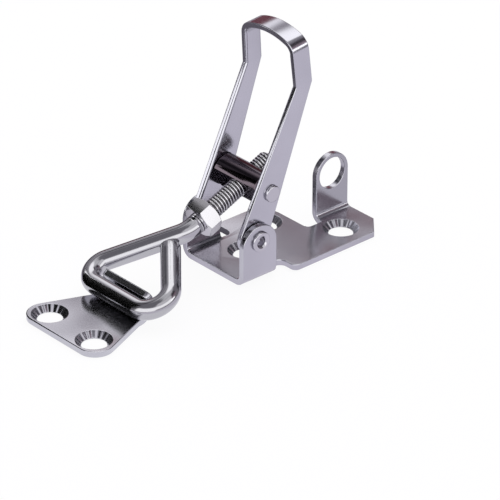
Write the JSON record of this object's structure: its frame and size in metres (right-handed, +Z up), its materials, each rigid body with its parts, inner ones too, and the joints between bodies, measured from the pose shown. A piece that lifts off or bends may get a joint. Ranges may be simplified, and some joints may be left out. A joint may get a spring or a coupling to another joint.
{
  "type": "over centre toggle latch",
  "caption": "Adjustable over centre toggle latch with a bail lever, a bent wire loop on a screw rod, a padlock tab and a hooked keeper.",
  "frame": {"origin": "on the mounting plane, midway between the ears, straight under the axis of the lever's pivot", "axes": "+X from the keeper to the tail of the base, +Y to the far side, +Z up from the mounting plane"},
  "size_m": [0.114, 0.0366, 0.0729],
  "materials": {
    "bracket_plate": "bright plated, polished",
    "lever_strip": "bright plated, polished",
    "rivets": "bright plated",
    "barrel": "bright plated, turned",
    "wire": "bright plated, drawn",
    "nut": "bright plated",
    "keeper_plate": "bright plated, polished"
  },
  "bodies": {
    "base": {"base_bracket": "bracket_plate", "rivet_near": "rivets", "rivet_far": "rivets"},
    "lever": {"lever": "lever_strip"},
    "trunnion": {"trunnion": "barrel"},
    "hook_rod": {"hook_rod": "wire"},
    "nut": {"nut": "nut"},
    "keeper": {"keeper": "keeper_plate"}
  },
  "joints": [
    {"name": "lever_pivot", "type": "hinge", "parent": "base", "child": "lever", "pos_m": [0, 0, 0.0133], "axis": [0, 1, 0], "range_deg": [0, 67]},
    {"name": "trunnion_pivot", "type": "hinge", "parent": "lever", "child": "trunnion", "pos_m": [0.0063, 0, 0.0259], "axis": [0, 1, 0], "range_deg": [-52, 0]},
    {"name": "rod_adjust", "type": "slide", "parent": "trunnion", "child": "hook_rod", "axis": [0.9247, 0, 0.3808], "range_m": [-0.004, 0.004]},
    {"name": "nut_slide", "type": "slide", "parent": "hook_rod", "child": "nut", "axis": [0.9247, 0, 0.3808], "range_m": [0, 0.005]},
    {"name": "keeper_hook", "type": "hinge", "parent": "hook_rod", "child": "keeper", "pos_m": [-0.043, 0, 0.0056], "axis": [0, 1, 0], "range_deg": [-15.1, 0]}
  ],
  "couplings": [
    {"joint": "trunnion_pivot", "follows": "lever_pivot", "ratio": -0.775},
    {"joint": "keeper_hook", "follows": "lever_pivot", "ratio": -0.225}
  ]
}
